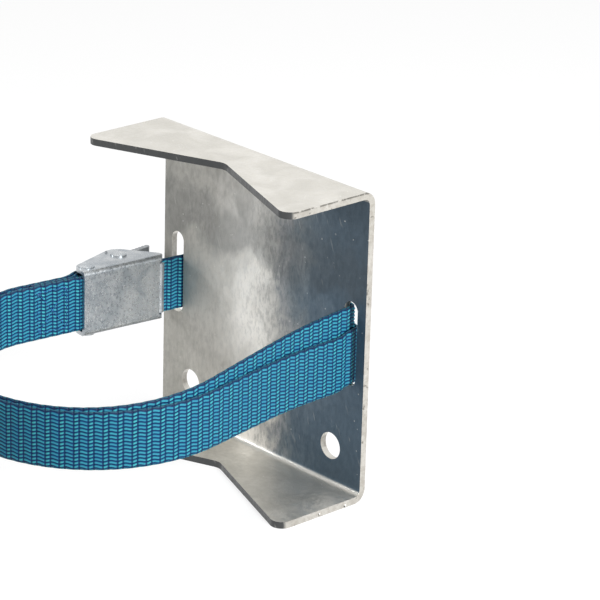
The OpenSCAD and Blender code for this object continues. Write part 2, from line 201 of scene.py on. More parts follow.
# %% Cloudy zinc group
def make_cloudy_zinc():
    tree, given, out = shader_group(
        "cloudy_zinc",
        [("Place", "Vector", None), ("Cloud Scale", "Float", 40.0), ("Run", "Float", 2.5)],
        [("Clouds", "Float", None), ("Mottle", "Float", None), ("Streaks", "Float", None),
         ("Specks", "Float", None), ("Relief", "Float", None)])
    # The bath drains downwards, so the clouds are stretched along Z
    drained = add(tree, "VectorMath", {"operation": "MULTIPLY"}, _0=given["Place"])
    stretch = add(tree, "CombineXYZ", X=1.0, Y=1.0, Z=maths(tree, "DIVIDE", 1.0, given["Run"]))
    tree.links.new(stretch.outputs[0], drained.inputs[1])
    clouds = noise(tree, drained.outputs[0], given["Cloud Scale"], 4.0, 0.55, 0.6)
    mottle = noise(tree, drained.outputs[0], maths(tree, "MULTIPLY", given["Cloud Scale"], 7.0), 5.0, 0.65)
    drawn = add(tree, "VectorMath", {"operation": "MULTIPLY"}, _0=given["Place"], _1=(1.0, 1.0, 0.4))
    streaks = noise(tree, drawn.outputs[0], maths(tree, "MULTIPLY", given["Cloud Scale"], 14.0), 3.0, 0.7)
    wander = add(tree, "TexNoise", Vector=given["Place"], Scale=900.0, Detail=1.0).outputs["Color"]
    uneven = add(tree, "VectorMath", {"operation": "MULTIPLY_ADD"}, _0=wander, _1=(1 * MM,) * 3,
                 _2=given["Place"]).outputs[0]
    dross = add(tree, "TexVoronoi", {"feature": "F1"}, Vector=uneven,
                Scale=maths(tree, "MULTIPLY", given["Cloud Scale"], 5.0)).outputs["Distance"]
    rare = noise(tree, given["Place"], maths(tree, "MULTIPLY", given["Cloud Scale"], 2.3), 1.0)
    specks = maths(tree, "MULTIPLY", ramp_between(tree, dross, 0.05, 0.15, 1.0, 0.0),
                   ramp_between(tree, rare, 0.56, 0.62))
    tree.links.new(ramp_between(tree, clouds, 0.32, 0.68), out["Clouds"])
    tree.links.new(ramp_between(tree, mottle, 0.3, 0.7), out["Mottle"])
    tree.links.new(ramp_between(tree, streaks, 0.42, 0.66), out["Streaks"])
    tree.links.new(specks, out["Specks"])
    tree.links.new(maths(tree, "MULTIPLY_ADD", specks, 0.8, mottle), out["Relief"])
    return tree


cloudy_zinc = make_cloudy_zinc()
print(cloudy_zinc.name, "has", len(cloudy_zinc.nodes), "nodes")


# %% Rubbed scratches group
def make_scratches():
    tree, given, out = shader_group(
        "rubbed_scratches",
        [("Place", "Vector", None), ("Turn", "Vector", (0, 0, 0)), ("Fineness", "Float", 400.0)],
        [("Lines", "Float", None)])
    turned = add(tree, "VectorRotate", {"rotation_type": "EULER_XYZ"}, Vector=given["Place"],
                 Rotation=given["Turn"]).outputs[0]
    longer = add(tree, "VectorMath", {"operation": "MULTIPLY"}, _0=turned, _1=(1.0, 1.0, 0.035)).outputs[0]
    lines = noise(tree, longer, given["Fineness"], 2.0, 0.5)
    where = noise(tree, given["Place"], 60.0, 2.0)
    thin = ramp_between(tree, lines, 0.63, 0.72)
    tree.links.new(maths(tree, "MULTIPLY", thin, ramp_between(tree, where, 0.45, 0.6)), out["Lines"])
    return tree


scratches = make_scratches()
print(scratches.name, "has", len(scratches.nodes), "nodes")

# %% [markdown]
# ## Galvanised steel
#
# Hot-dip zinc is a bright, slightly warm grey metal. Its tone isn't even here. The flanges are pale. On the
# inside of the web a painted highlight lies near the middle, painted shade in blue-grey runs towards its
# right end, and a band of painted shade runs across near the top. Of the sheared faces, the notch edges
# carry painted shade, and the end faces are rough, with zinc that has gathered in small lumps.
#
# All of it is worked out from the place and the direction on the metal, so it stays put from any side. The
# painted light and shade along the web is one colour ramp over the distance from the middle, with its edges
# broken up by noise.

# %% Galvanised steel
# Distance from the middle of the web in mm, and the colour there: painted highlight near the middle, painted
# shade towards the right end
WEB_PAINTED_LIGHT = [(-65, "#bebcb5"), (-30, "#d2cfc8"), (-8, "#fbf8f2"), (0, "#ece9e3"), (8, "#cbc9c4"),
             (15, "#a4a6a7"), (24, "#808a90"), (33, "#6c7b87"), (45, "#5e6f7d"), (65, "#5a6b79")]
# How much duller the inside of the web is than the rest
WEB_DULLER = 0.28
# A dark nick where the cut end meets the top, at the wall
TOP = 120 * MM
TOP_NICK = (65 * MM, -4.4 * MM, TOP)


def facing(tree, axis, low, high):
    """1 where the surface turns past high towards an axis, 0 below low."""
    parts = add(tree, "SeparateXYZ", Vector=add(tree, "TexCoord").outputs["Normal"]).outputs
    return ramp_between(tree, parts[axis], low, high)


def both(tree, *masks):
    product = masks[0]
    for mask in masks[1:]:
        product = maths(tree, "MULTIPLY", product, mask)
    return product


def painted_web_light(tree, x, z, zinc):
    """Painted light on the web's inside: a ramp from a painted highlight near the middle to painted shade at
    the right end, with a band of painted shade near the top.
    """
    spread = ramp_between(tree, z, -15 * MM, 40 * MM, 1.4, 1.0)
    shifted = maths(tree, "MULTIPLY_ADD", zinc["Clouds"], 12 * MM, maths(tree, "SUBTRACT", x, 6 * MM))
    shifted = maths(tree, "MULTIPLY_ADD", zinc["Streaks"], 3 * MM, maths(tree, "SUBTRACT", shifted, 1.5 * MM))
    ends = (WEB_PAINTED_LIGHT[0][0] * MM, WEB_PAINTED_LIGHT[-1][0] * MM)
    ramp = add(tree, "ValToRGB", _0=add(tree, "MapRange", Value=maths(tree, "MULTIPLY", shifted, spread),
                                        _1=ends[0], _2=ends[1]).outputs[0])
    stops = ramp.color_ramp.elements
    while len(stops) < len(WEB_PAINTED_LIGHT):
        stops.new(0.5)
    for stop, (place, colour) in zip(stops, WEB_PAINTED_LIGHT):
        stop.position = (place - WEB_PAINTED_LIGHT[0][0]) / (WEB_PAINTED_LIGHT[-1][0] - WEB_PAINTED_LIGHT[0][0])
        stop.color = linear(colour)
    # Painted shade: a darker band across the web near the top, below the top flange
    high = maths(tree, "MULTIPLY_ADD", zinc["Clouds"], 12 * MM, z)
    top_shade = both(tree, ramp_between(tree, high, 70 * MM, 82 * MM),
                 ramp_between(tree, high, 92 * MM, 104 * MM, 1.0, 0.5))
    return mix_colours(tree, maths(tree, "MULTIPLY", top_shade, 0.45), ramp.outputs[0], linear("#55595b"))


def galvanised_steel():
    material, tree, surface, link = new_material("galvanised_steel")
    place = object_place(tree)
    x, y, z = add(tree, "SeparateXYZ", Vector=place).outputs
    zinc = use_group(tree, cloudy_zinc, Place=place, Cloud_Scale=60.0, Run=1.5)
    rubbed = use_group(tree, scratches, Place=place, Turn=(0.15, 0.35, 0.0), Fineness=620.0)["Lines"]
    pale = mix_colours(tree, zinc["Clouds"], linear("#cfccc4"), linear("#e2dfd8"))
    pale = mix_colours(tree, maths(tree, "MULTIPLY", zinc["Mottle"], 0.4), pale, linear("#c4c1b9"))
    inside = both(tree, facing(tree, 1, -0.8, -0.97), maths(tree, "GREATER_THAN", y, -6 * MM))
    # The inside of the web takes the ramp of painted highlight and painted shade
    tone = mix_colours(tree, inside, pale, painted_web_light(tree, x, z, zinc))
    worn = both(tree, inside, maths(tree, "MULTIPLY", zinc["Streaks"], 0.14))
    tone = mix_colours(tree, worn, tone, linear("#3f4446"))
    # Sheared faces: painted shade on the notch edges, lumpy end faces with a burnished band along one side
    # Painted shade on the notch edges, which face the front
    notch_shade = both(tree, facing(tree, 1, -0.25, -0.6), maths(tree, "LESS_THAN", y, -7 * MM))
    tone = mix_colours(tree, maths(tree, "MULTIPLY", notch_shade, 0.93), tone, linear("#3a3d40"))
    cut_end = maths(tree, "MAXIMUM", facing(tree, 0, 0.85, 0.95), facing(tree, 0, -0.85, -0.95))
    lumps = noise(tree, place, 420.0, 4.0, 0.65)
    tone = mix_colours(tree, both(tree, cut_end, ramp_between(tree, lumps, 0.42, 0.62, 0.15, 0.65)), tone,
                       linear("#b3ada3"))
    nicks = both(tree, cut_end, ramp_between(tree, noise(tree, place, 260.0, 2.0), 0.66, 0.72))
    tone = mix_colours(tree, maths(tree, "MULTIPLY", nicks, 0.7), tone, linear("#5b5850"))
    brink = ramp_between(tree, z, TOP - 1.0 * MM, TOP - 0.4 * MM)
    burr = both(tree, cut_end, brink, ramp_between(tree, lumps, 0.4, 0.5))
    from_nick = add(tree, "VectorMath", {"operation": "DISTANCE"}, _0=place, _1=TOP_NICK).outputs["Value"]
    nick = ramp_between(tree, from_nick, 0.5 * MM, 1.3 * MM, 1.0, 0.0)
    tone = mix_colours(tree, maths(tree, "MULTIPLY", maths(tree, "MAXIMUM", burr, nick), 0.75), tone,
                       linear("#4a4843"))
    tone = mix_colours(tree, maths(tree, "MULTIPLY", zinc["Specks"], 0.5), tone, linear("#f6f5f1"))
    tone = mix_colours(tree, maths(tree, "MULTIPLY", rubbed, 0.2), tone, linear("#e3e2dd"))
    link(tone, surface.inputs["Base Color"])
    link(ramp_between(tree, cut_end, 0.0, 1.0, 0.78, 0.35), surface.inputs["Metallic"])
    satin = ramp_between(tree, zinc["Mottle"], 0.0, 1.0, 0.3, 0.44)
    link(maths(tree, "MULTIPLY_ADD", inside, WEB_DULLER, satin), surface.inputs["Roughness"])
    height = maths(tree, "MULTIPLY_ADD", both(tree, cut_end, lumps), 2.5, zinc["Relief"])
    relief = add(tree, "Bump", Strength=0.3, Distance=0.5 * MM, Height=height).outputs[0]
    link(relief, surface.inputs["Normal"])
    return material


def dress(node_name, material):
    """Gives a carried-over solid its material."""
    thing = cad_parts[node_name]
    thing.data.materials.clear()
    thing.data.materials.append(material)
    return thing


galvanised = galvanised_steel()
dress("wall_bracket", galvanised)
print("galvanised_steel has", len(galvanised.node_tree.nodes), "nodes")

# %% [markdown]
# ## The strap's course
#
# The webbing is one piece. Its sewn end loops round a bar in the buckle. From there it passes round the
# front of the cylinder, through the right slot, behind the web and out of the left slot, then through the
# buckle under the cam. The tail goes over the bar and round the front again on top of the first layer, and
# is tucked in at the right slot. The course below follows the same rules as the solid: straight runs are
# the lines that touch both the slot's round edge and the cylinder. Only its height towards the right slot
# is a little freer.
#
# Lengths in this part are in millimetres, and heights count from the underside of the bracket.

# %% Sizes that set the course
SHEET = 3.0
BRACKET_W, BRACKET_H = 130.0, 140.0
FLANGE_D, NOTCH_ANGLE = 50.5, math.radians(21)
SLOT_W, SLOT_H, SLOT_EDGE = 8.0, 38.0, 5.0
HOLE_UP = 20.0
CYLINDER_R = 62.5
WEB_W, WEB_T, LAY_GAP = 25.0, 1.5, 0.3
FRONT_DIP, LAYER_STEP, TUCKED_TAIL, SEWN_L = 5.4, 0.8, 45.0, 19.0
PIN_OUT, BAR_BACK, BAR_D = 31.0, 20.0, 4.0
# Webbing is soft: before the right slot the tail sags a little, and both layers stand off the slot's edge
TAIL_SAG, SAG_IN, SAG_RUN = 1.6, 8.0, 50.0
STAND_OFF, STAND_OFF_RUN = 1.1, 40.0

slot_r = SLOT_W / 2
slot_in = BRACKET_W / 2 - SLOT_EDGE - SLOT_W
notch_d = FLANGE_D - BRACKET_W / 2 * math.tan(NOTCH_ANGLE)
seat = Vector((0, -notch_d - CYLINDER_R / math.cos(NOTCH_ANGLE)))
pitch = WEB_T + LAY_GAP
print("cylinder's axis is", round(-seat.y, 1), "mm from the wall")


# %% Heights of the webbing
def end_inset(x):
    return slot_r - math.sqrt(slot_r ** 2 - (slot_r - min(x, slot_r)) ** 2)


def ease(t):
    t = min(max(t, 0), 1)
    return t * t * (3 - 2 * t)


def mix(a, b, t):
    return a + (b - a) * t


slot_low = BRACKET_H / 2 - SLOT_H / 2 + WEB_W / 2 + 0.2
slot_top = BRACKET_H / 2 + SLOT_H / 2 - WEB_W / 2 - 0.2
left_z = slot_low + end_inset(LAY_GAP)
under_z = slot_top - end_inset(LAY_GAP)
tail_z = slot_low + end_inset(LAY_GAP + pitch)


def front_z(layer):
    return tail_z - FRONT_DIP + (LAYER_STEP if layer == 0 else 0)


print("heights at the slots:", round(left_z, 1), round(under_z, 1), round(tail_z, 1))


# %% Points along the course
def towards(angle):
    return Vector((math.cos(angle), math.sin(angle)))


def wrap_r(layer):
    return LAY_GAP + WEB_T / 2 + layer * pitch


def loop_r(layer):
    return CYLINDER_R + WEB_T / 2 + layer * pitch


def turn_a(layer):
    to_seat = seat - Vector((slot_in, 0))
    return math.atan2(to_seat.y, to_seat.x) + math.acos((wrap_r(layer) - loop_r(layer)) / to_seat.length)


def leave_pt(layer):
    return Vector((slot_in, 0)) + wrap_r(layer) * towards(turn_a(layer))


def touch_pt(layer):
    return seat + loop_r(layer) * towards(turn_a(layer))


def front_y(layer):
    return seat.y - loop_r(layer)


left_a = math.pi - turn_a(0)
left_out, left_run = towards(left_a), towards(left_a + math.pi / 2)
left_foot = Vector((-leave_pt(0).x, leave_pt(0).y)) - WEB_T / 2 * left_out
left_l = (touch_pt(0) - leave_pt(0)).length
bar_s = PIN_OUT + BAR_BACK
bar_h = WEB_T + 0.2 + BAR_D / 2
bar_wrap_r = BAR_D / 2 + 0.2 + WEB_T / 2
sewn_h = WEB_T + 0.1 + WEB_T / 2
tail_h = sewn_h + pitch
over_bar_h = bar_h + bar_wrap_r + pitch
SEWN_DROP, TAIL_DROP, TAIL_SETTLE = 10.0, 12.0, math.radians(25)
sewn_end = bar_s + SEWN_DROP + SEWN_L
print("left run is", round(left_l, 1), "mm long")


def left_pt(s, h):
    p = left_foot + s * left_run + h * left_out
    return Vector((p.x, p.y, left_z))


def left_height(y, layer):
    start = touch_pt(0).y
    return mix(left_z, front_z(layer), ease((y - start) / (front_y(layer) - start)))


def sag(out):
    """How far the tail sags at a distance in front of the web: most just before the slot."""
    return TAIL_SAG * ease(out / SAG_IN) * (1 - ease(out / SAG_RUN))


def right_pt(p, layer):
    share = ease(max(p.y / front_y(layer), 0))
    x = p.x + STAND_OFF * ease(1 + min(p.y, 0) / STAND_OFF_RUN)
    if layer == 0:
        return Vector((x, p.y, mix(under_z, front_z(layer), share)))
    return Vector((x, p.y, mix(tail_z, front_z(layer), share) - sag(-p.y - SHEET)))


def wrapped_pt(angle, layer, share):
    """A point on the turn round the right slot's edge, which is flatter than a circle by the stand-off."""
    p = Vector((slot_in, 0)) + wrap_r(layer) * towards(angle) + Vector((STAND_OFF * (1 - ease(share)), 0))
    return Vector((p.x, p.y, under_z if layer == 0 else tail_z))


def left_arc_pt(a, layer):
    spare = 0 if layer == 0 else (tail_h - 1.5 * WEB_T - LAY_GAP) * (1 - ease((a - left_a) / TAIL_SETTLE))
    p = seat + (loop_r(layer) + spare) * towards(a)
    return Vector((p.x, p.y, left_height(p.y, layer)))


# %% Stretches of the course
def steps(count, first=1):
    return [i / count for i in range(first, count + 1)]


def left_arc(layer):
    return [left_arc_pt(mix(left_a, 1.5 * math.pi, t), layer) for t in steps(90, 0)]


def right_side(layer):
    a = turn_a(layer)
    points = [right_pt(seat + loop_r(layer) * towards(mix(-math.pi / 2, a, t)), layer) for t in steps(90)]
    points += [right_pt(touch_pt(layer).lerp(leave_pt(layer), t), layer) for t in steps(30)]
    return points + [wrapped_pt(mix(a, math.pi / 2, t), layer, t) for t in steps(12)]


def behind_web():
    r = wrap_r(0)
    points = [Vector((mix(slot_in, -slot_in, t), r, mix(under_z, left_z, ease(t)))) for t in steps(40)]
    for t in steps(12):
        p = r * towards(mix(math.pi / 2, math.pi - turn_a(0), t))
        points.append(Vector((p.x - slot_in, p.y, left_z)))
    return points


def sewn_end_course():
    points = [left_pt(mix(sewn_end, bar_s + SEWN_DROP, t), sewn_h) for t in steps(8, 0)]
    points += [left_pt(bar_s + SEWN_DROP * (1 - t), mix(sewn_h, bar_h + bar_wrap_r, ease(t)))
               for t in steps(24)[:-1]]
    for t in steps(24, 0):
        p = bar_wrap_r * towards(math.pi / 2 + math.pi * t)
        points.append(left_pt(bar_s + p.x, bar_h + p.y))
    return points + [left_pt(mix(bar_s, left_l, t), WEB_T / 2) for t in steps(14)[:-1]]


def through_buckle():
    rise = PIN_OUT + 5
    points = [left_pt(rise * t, WEB_T / 2) for t in steps(12)]
    points += [left_pt(mix(rise, bar_s, t), mix(WEB_T / 2, over_bar_h, ease(t))) for t in steps(20)]
    points += [left_pt(bar_s + TAIL_DROP * t, mix(over_bar_h, tail_h, ease(t))) for t in steps(20)]
    return points + [left_pt(mix(bar_s + TAIL_DROP, left_l, t), tail_h) for t in steps(8)[:-1]]


tucked = [Vector((slot_in - TUCKED_TAIL * t, wrap_r(1), tail_z)) for t in steps(12)]
course = (sewn_end_course() + left_arc(0) + right_side(0) + behind_web() + through_buckle()
          + left_arc(1) + right_side(1) + tucked)
print("the course has", len(course), "points")

# %% [markdown]
# ## Weaving the strap
#
# From a step away webbing shows its ribs: sixteen cords of warp run along it, each waving a little from
# side to side as the weft binds it, first over and then under. So the ribs are real relief here. The mesh
# has one line of points on each crest and one in each groove, and those lines wave together. A line on the
# crest and a line in the groove are enough, because smooth shading rounds them off.
#
# Each point keeps its place in the weave, as an attribute with the distance along the strap, the number of
# the rib, and the side. The material reads it, so its colours follow the ribs round every bend.

# %% Walking along the course
class Walk:
    """A course of points that can be asked for its place and its sideways direction at any distance."""

    def __init__(self, points):
        self.points = points
        self.marks = [0.0]
        for a, b in zip(points, points[1:]):
            self.marks.append(self.marks[-1] + (b - a).length)
        self.length = self.marks[-1]

    def at(self, distance):
        distance = min(max(distance, 0.0), self.length)
        low, high = 0, len(self.marks) - 1
        while high - low > 1:
            middle = (low + high) // 2
            low, high = (middle, high) if self.marks[middle] <= distance else (low, middle)
        span = self.marks[high] - self.marks[low]
        return self.points[low].lerp(self.points[high], (distance - self.marks[low]) / span if span else 0)

    def side(self, distance, reach=0.35):
        t = self.at(distance + reach) - self.at(distance - reach)
        return Vector((t.y, -t.x, 0)).normalized()


def stations(walk, step, most_turn):
    """Distances a step apart, with more of them wherever the course turns by more than most_turn."""
    found = [0.0]
    count = round(walk.length / step)
    for i in range(1, count + 1):
        start, end = found[-1], walk.length * i / count
        turn = walk.side(start).angle(walk.side(end))
        parts = max(1, math.ceil(turn / most_turn))
        found += [mix(start, end, k / parts) for k in range(1, parts + 1)]
    return found


strap_walk = Walk(course)
print("webbing is", round(strap_walk.length), "mm long")

# %% The woven band
RIBS = 16
WAVE_L = 5.8
WAVE_SIDE = 0.3
GROOVE = 0.44
DIP = 0.14
EDGE_HALF_T = 0.28
# Part of each wave where the cords lie raised, as shares of the wave
RAISED_END, RAISED_START = 1 / 8, 6 / 8
LINES = 2 * RIBS + 1


def rib_line(j, distance):
    """Height of line j above the strap's middle, and how far it waves."""
    v = (j / (LINES - 1) - 0.5) * WEB_W
    slack = 0.35 if j in (0, LINES - 1) else 1.0
    return v + slack * WAVE_SIDE * math.sin(2 * math.pi * distance / WAVE_L)


def half_thickness(j, distance):
    if j in (0, LINES - 1):
        return EDGE_HALF_T
    phase = distance / WAVE_L % 1
    off = min(abs(phase - RAISED_END), abs(phase - RAISED_START))
    dip = DIP * max(0, 1 - off * 8)
    return WEB_T / 2 - (GROOVE if j % 2 else dip)


def weave(walk, name):
    mesh = bpy.data.meshes.new(name)
    where = stations(walk, WAVE_L / 8, math.radians(9))
    points, woven = [], []
    for distance in where:
        middle, side = walk.at(distance), walk.side(distance)
        for face in (1, -1):
            for j in (range(LINES) if face == 1 else reversed(range(LINES))):
                out = face * half_thickness(j, distance)
                v = min(max(rib_line(j, distance), -WEB_W / 2), WEB_W / 2)
                points.append((middle + side * out + Vector((0, 0, v - HOLE_UP))) * MM)
                woven.append((distance, j / 2, face))
    ring = 2 * LINES
    faces = [(i * ring + k, (i + 1) * ring + k, (i + 1) * ring + (k + 1) % ring, i * ring + (k + 1) % ring)
             for i in range(len(where) - 1) for k in range(ring)]
    last = (len(where) - 1) * ring
    for k in range(LINES - 1):
        faces.append((k, k + 1, ring - 2 - k, ring - 1 - k))
        faces.append((last + ring - 1 - k, last + ring - 2 - k, last + k + 1, last + k))
    mesh.from_pydata(points, [], faces)
    layer = mesh.attributes.new("weave", "FLOAT_VECTOR", "POINT")
    layer.data.foreach_set("vector", [c for p in woven for c in p])
    mesh.polygons.foreach_set("use_smooth", [True] * len(mesh.polygons))
    mesh.update()
    thing = bpy.data.objects.new(name, mesh)
    bpy.context.collection.objects.link(thing)
    return thing


strap = weave(strap_walk, "woven_strap")
print("woven strap:", len(strap.data.polygons), "faces")

# %% [markdown]
# ## Blue webbing
#
# The cords are dyed polyester, a mid blue. Light is painted on it: a cyan painted highlight where light
# catches a crest, stronger along the raised stretches, and navy painted shade in the grooves, at the borders
# between stretches and along the upper selvedge. The fine filaments of each cord are too small for the mesh,
# so they are bump. The cut ends are sealed with heat, which leaves a darker, glossier rim. A trace of sheen
# lifts the colour at a glancing view, as it does on cloth.

# %% Woven cord group
def make_woven_cord():
    tree, given, out = shader_group(
        "woven_cord",
        [("Weave", "Vector", None), ("Wave Length", "Float", 5.8)],
        [("Crest", "Float", None), ("Raised", "Float", None), ("Border", "Float", None),
         ("Tone", "Float", None), ("Filaments", "Float", None)])
    along, rib, side = add(tree, "SeparateXYZ", Vector=given["Weave"]).outputs
    across = maths(tree, "COSINE", maths(tree, "MULTIPLY", rib, 2 * math.pi))
    turns = maths(tree, "DIVIDE", along, given["Wave Length"])
    phase = maths(tree, "FRACT", turns)
    after = ramp_between(tree, phase, RAISED_END - 0.04, RAISED_END + 0.04)
    before = ramp_between(tree, phase, RAISED_START - 0.04, RAISED_START + 0.04, 1.0, 0.0)
    raised = maths(tree, "SUBTRACT", 1.0, both(tree, after, before))
    border = None
    for place in (RAISED_END, RAISED_START):
        off = maths(tree, "ABSOLUTE", maths(tree, "SUBTRACT", phase, place))
        line = ramp_between(tree, off, 0.03, 0.1, 1.0, 0.0)
        border = line if border is None else maths(tree, "MAXIMUM", border, line)
    cell = add(tree, "CombineXYZ", X=maths(tree, "FLOOR", maths(tree, "SUBTRACT", turns, RAISED_END)),
               Y=maths(tree, "ROUND", rib), Z=maths(tree, "MULTIPLY_ADD", raised, 5.0, side)).outputs[0]
    fine = add(tree, "CombineXYZ", X=maths(tree, "MULTIPLY", along, 0.6),
               Y=maths(tree, "MULTIPLY", rib, 11.0), Z=side).outputs[0]
    tree.links.new(maths(tree, "MULTIPLY_ADD", across, 0.5, 0.5), out["Crest"])
    tree.links.new(raised, out["Raised"])
    tree.links.new(border, out["Border"])
    tone = add(tree, "TexWhiteNoise", {"noise_dimensions": "3D"}, Vector=cell).outputs["Value"]
    tree.links.new(tone, out["Tone"])
    tree.links.new(noise(tree, fine, 1.6, 2.0), out["Filaments"])
    return tree


woven_cord = make_woven_cord()
print(woven_cord.name, "has", len(woven_cord.nodes), "nodes")


# %% Webbing material
def blue_webbing():
    material, tree, surface, link = new_material("blue_webbing")
    woven = add(tree, "Attribute", {"attribute_name": "weave"}).outputs["Vector"]
    along, rib, _ = add(tree, "SeparateXYZ", Vector=woven).outputs
    cord = use_group(tree, woven_cord, Weave=woven, Wave_Length=WAVE_L)
    # Painted shade: navy in the grooves, mid blue on the crests
    colour = mix_colours(tree, maths(tree, "POWER", cord["Crest"], 0.8), linear("#071a45"), linear("#1b74b0"))
    # Painted highlight: cyan where light catches a crest, stronger along the raised stretches
    highlight_strength = ramp_between(tree, cord["Raised"], 0.0, 1.0, 0.62, 1.0)
    lit = both(tree, maths(tree, "POWER", cord["Crest"], 1.6), highlight_strength)
    colour = mix_colours(tree, lit, colour, linear("#5ad6da"))
    # Painted shade along the borders between raised and dim stretches
    colour = mix_colours(tree, maths(tree, "MULTIPLY", cord["Border"], 0.88), colour, linear("#0a2352"))
    colour = mix_colours(tree, maths(tree, "MULTIPLY", cord["Tone"], 0.3), colour, linear("#1a5597"))
    # Painted shade along the upper selvedge
    selvedge_shade = ramp_between(tree, rib, RIBS - 0.75, RIBS - 0.4)
    colour = mix_colours(tree, maths(tree, "MULTIPLY", selvedge_shade, 0.8), colour, linear("#0a1c3e"))
    sealed = maths(tree, "MAXIMUM", ramp_between(tree, along, 0.4, 1.8, 1.0, 0.0),
                   ramp_between(tree, along, strap_walk.length - 1.8, strap_walk.length - 0.4))
    colour = mix_colours(tree, maths(tree, "MULTIPLY", sealed, 0.8), colour, linear("#0b2450"))
    link(colour, surface.inputs["Base Color"])
    link(ramp_between(tree, sealed, 0.0, 1.0, 0.5, 0.3), surface.inputs["Roughness"])
    surface.inputs["Sheen Weight"].default_value = 0.03
    surface.inputs["Sheen Roughness"].default_value = 0.4
    surface.inputs["Specular IOR Level"].default_value = 0.2
    threads = maths(tree, "MULTIPLY", cord["Filaments"], 0.5)
    height = maths(tree, "MULTIPLY_ADD", cord["Border"], -1.2, threads)
    relief = add(tree, "Bump", Strength=0.6, Distance=0.2 * MM, Height=height).outputs[0]
    link(relief, surface.inputs["Normal"])
    return material


strap.data.materials.append(blue_webbing())
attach(strap, "holder")
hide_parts("webbing_strap")
print("strap dressed")

# %% [markdown]
# ## Stitching
#
# The end round the buckle's bar is sewn down with a box and a cross, the usual pattern for a strap that
# carries load. Each stitch is a short bulging length of thread. It shows on the outside of the sewn end and
# on the inside of the strap.

# %% Stitch pattern
THREAD_R = 0.26
STITCH_L = 2.6
STITCH_GAP = 0.5
BOX_START, BOX_END, BOX_UP = 2.5, 2.0, 9.3


def pattern_lines():
    near, far = bar_s + SEWN_DROP + BOX_START, sewn_end - BOX_END
    corners = [(near, -BOX_UP), (far, -BOX_UP), (far, BOX_UP), (near, BOX_UP)]
    sides = list(zip(corners, corners[1:] + corners[:1]))
    return sides + [(corners[0], corners[2]), (corners[1], corners[3])]


def stitches():
    found = []
    for (s0, v0), (s1, v1) in pattern_lines():
        count = max(1, round(math.hypot(s1 - s0, v1 - v0) / STITCH_L))
        for i in range(count):
            ends = [(i + STITCH_GAP / 2 / STITCH_L) / count, (i + 1 - STITCH_GAP / 2 / STITCH_L) / count]
            found.append([(mix(s0, s1, t), mix(v0, v1, t)) for t in ends])
    return found


def sew(name):
    """Every stitch is a bent tube, low at its ends and proud in the middle."""
    shape = bmesh.new()
    rings, sides = 7, 6
    for face_h, outward in ((0.0, -1), (sewn_h + WEB_T / 2, 1)):
        for (s0, v0), (s1, v1) in stitches():
            loops = []
            for i in range(rings):
                t = i / (rings - 1)
                rise = outward * (THREAD_R * (1.7 * math.sin(math.pi * t) - 1.2))
                lift = Vector((0, 0, mix(v0, v1, t) - HOLE_UP))
                centre = left_pt(mix(s0, s1, t), face_h + rise * 0.8) + lift
                run = Vector((left_run.x * (s1 - s0), left_run.y * (s1 - s0), v1 - v0)).normalized()
                out = Vector((left_out.x, left_out.y, 0))
                across = run.cross(out)
                r = THREAD_R * (0.6 + 0.4 * math.sin(math.pi * t))
                loops.append([shape.verts.new((centre + r * (math.cos(a) * across + math.sin(a) * out)) * MM)
                              for a in (2 * math.pi * k / sides for k in range(sides))])
            for a, b in zip(loops, loops[1:]):
                for k in range(sides):
                    shape.faces.new((a[k], a[(k + 1) % sides], b[(k + 1) % sides], b[k]))
            shape.faces.new(reversed(loops[0]))
            shape.faces.new(loops[-1])
    bmesh.ops.recalc_face_normals(shape, faces=shape.faces)
    mesh = bpy.data.meshes.new(name)
    shape.to_mesh(mesh)
    shape.free()
    mesh.polygons.foreach_set("use_smooth", [True] * len(mesh.polygons))
    thing = bpy.data.objects.new(name, mesh)
    bpy.context.collection.objects.link(thing)
    return thing


def sewing_thread():
    material, tree, surface, link = new_material("sewing_thread")
    place = object_place(tree)
    strands = add(tree, "TexWave", {"bands_direction": "DIAGONAL"}, Vector=place, Scale=900.0,
                  Distortion=1.0).outputs["Fac"]
    link(mix_colours(tree, strands, linear("#123f7c"), linear("#2f7fc0")), surface.inputs["Base Color"])
    surface.inputs["Roughness"].default_value = 0.45
    relief = add(tree, "Bump", Strength=0.5, Distance=0.1 * MM, Height=strands).outputs[0]
    link(relief, surface.inputs["Normal"])
    return material


thread = sew("stitching")
thread.data.materials.append(sewing_thread())
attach(thread, "holder")
print("stitches:", len(stitches()))

# %% [markdown]
# ## The buckle's metals
#
# The folded frame, the bar and the pin are zinc-plated: bright, a little blue, with a faint grain from
# rolling. The lever is cast, so its skin is finer and more satin, and its grip has been rubbed. The spring is
# bare drawn wire. The frame, the pins and the lever are already the right shape, so they only take materials.

# %% Buckle materials
def plated_steel():
    material, tree, surface, link = new_material("zinc_plated_steel")
    place = object_place(tree)
    zinc = use_group(tree, cloudy_zinc, Place=place, Cloud_Scale=120.0, Run=1.2)
    lines = use_group(tree, scratches, Place=place, Turn=(0.1, 0.9, 0.2), Fineness=900.0)["Lines"]
    tone = mix_colours(tree, zinc["Clouds"], linear("#a9b0b6"), linear("#c9cdd0"))
    tone = mix_colours(tree, maths(tree, "MULTIPLY", lines, 0.5), tone, linear("#e9ebec"))
    link(tone, surface.inputs["Base Color"])
    surface.inputs["Metallic"].default_value = 0.75
    link(ramp_between(tree, zinc["Mottle"], 0.0, 1.0, 0.24, 0.4), surface.inputs["Roughness"])
    link(add(tree, "Bump", Strength=0.2, Distance=0.2 * MM, Height=zinc["Relief"]).outputs[0],
         surface.inputs["Normal"])
    return material


